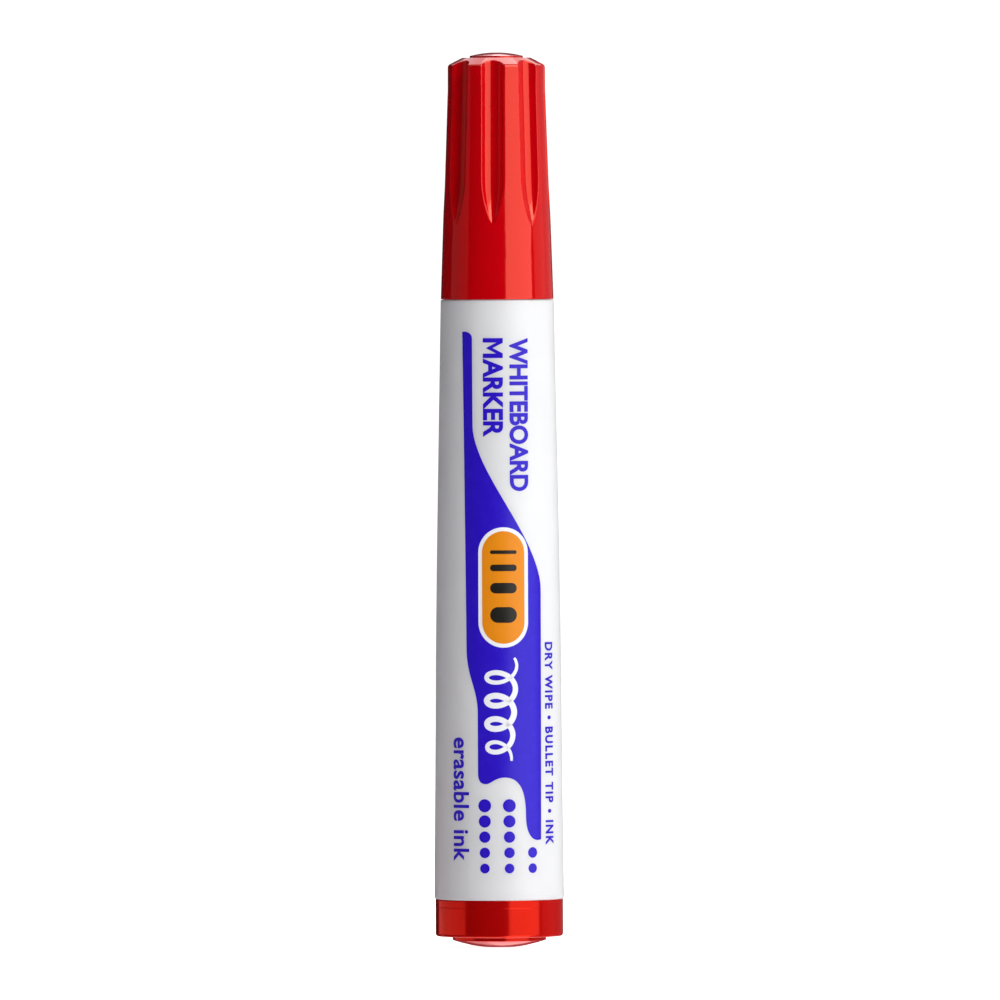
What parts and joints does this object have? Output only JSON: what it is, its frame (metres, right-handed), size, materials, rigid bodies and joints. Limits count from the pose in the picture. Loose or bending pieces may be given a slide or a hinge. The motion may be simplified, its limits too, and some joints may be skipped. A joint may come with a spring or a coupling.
{
  "type": "whiteboard marker",
  "caption": "Round tapered marker with a bullet fibre nib, an ink reservoir, an end plug and a fluted pull-off cap with a sealing liner.",
  "frame": {"origin": "lowest point of the end plug, on the marker's axis", "axes": "+Z along the marker's axis from the end plug to the cap's crown; +X and +Y square to it, with the printed front facing -Y"},
  "size_m": [0.0198, 0.0198, 0.137],
  "materials": {
    "barrel_white": "moulded polypropylene, semi-gloss, opaque white",
    "nib_fibre": "bonded polyester fibre soaked with red ink",
    "reservoir_fibre": "loose lengthwise polyester fibre soaked with red ink",
    "film": "thin wrapped film",
    "plug_red": "moulded polypropylene, glossy, red",
    "cap_red": "moulded polypropylene, glossy, red",
    "liner_white": "moulded polyethylene, satin, natural white"
  },
  "bodies": {
    "body": {"barrel": "barrel_white", "nib": "nib_fibre", "reservoir_core": "reservoir_fibre", "reservoir_film": "film", "end_plug": "plug_red"},
    "cap_inner": {"cap_liner": "liner_white"},
    "cap_outer": {"cap_shell": "cap_red"}
  },
  "joints": [
    {"name": "cap_pull", "type": "slide", "parent": "body", "child": "cap_inner", "axis": [0, 0, 1], "range_m": [0, 0.045]},
    {"name": "cap_turn", "type": "hinge", "parent": "cap_inner", "child": "cap_outer", "pos_m": [0, 0, 0.1], "axis": [0, 0, 1], "continuous": true}
  ]
}
